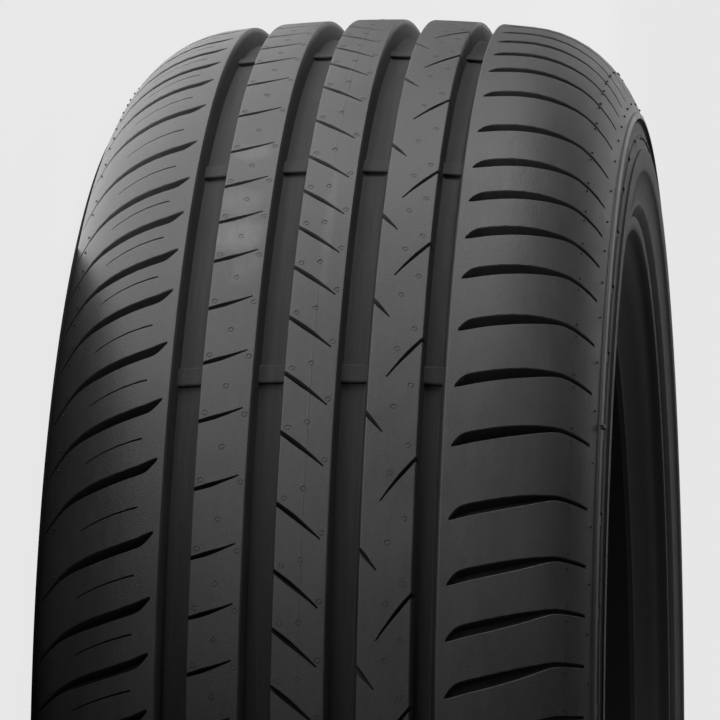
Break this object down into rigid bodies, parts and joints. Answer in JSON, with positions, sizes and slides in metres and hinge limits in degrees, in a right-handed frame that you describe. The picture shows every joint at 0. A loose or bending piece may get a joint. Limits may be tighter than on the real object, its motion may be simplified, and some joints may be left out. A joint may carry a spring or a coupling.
{
  "type": "car tyre",
  "caption": "Tubeless passenger car tyre with straight main grooves, shoulder slots, rib sipes, wear bars and two bead seats.",
  "frame": {"origin": "centre of the tyre, on its axis and in the middle of its width", "axes": "+Z along the tyre's axis, towards the sidewall that faces up; X and Y in the plane of the middle of the tread"},
  "size_m": [0.6318, 0.6318, 0.214],
  "materials": {
    "tyre": "moulded tread rubber, satin on the rib tops"
  },
  "bodies": {
    "root": {"tyre": "tyre"}
  },
  "joints": []
}
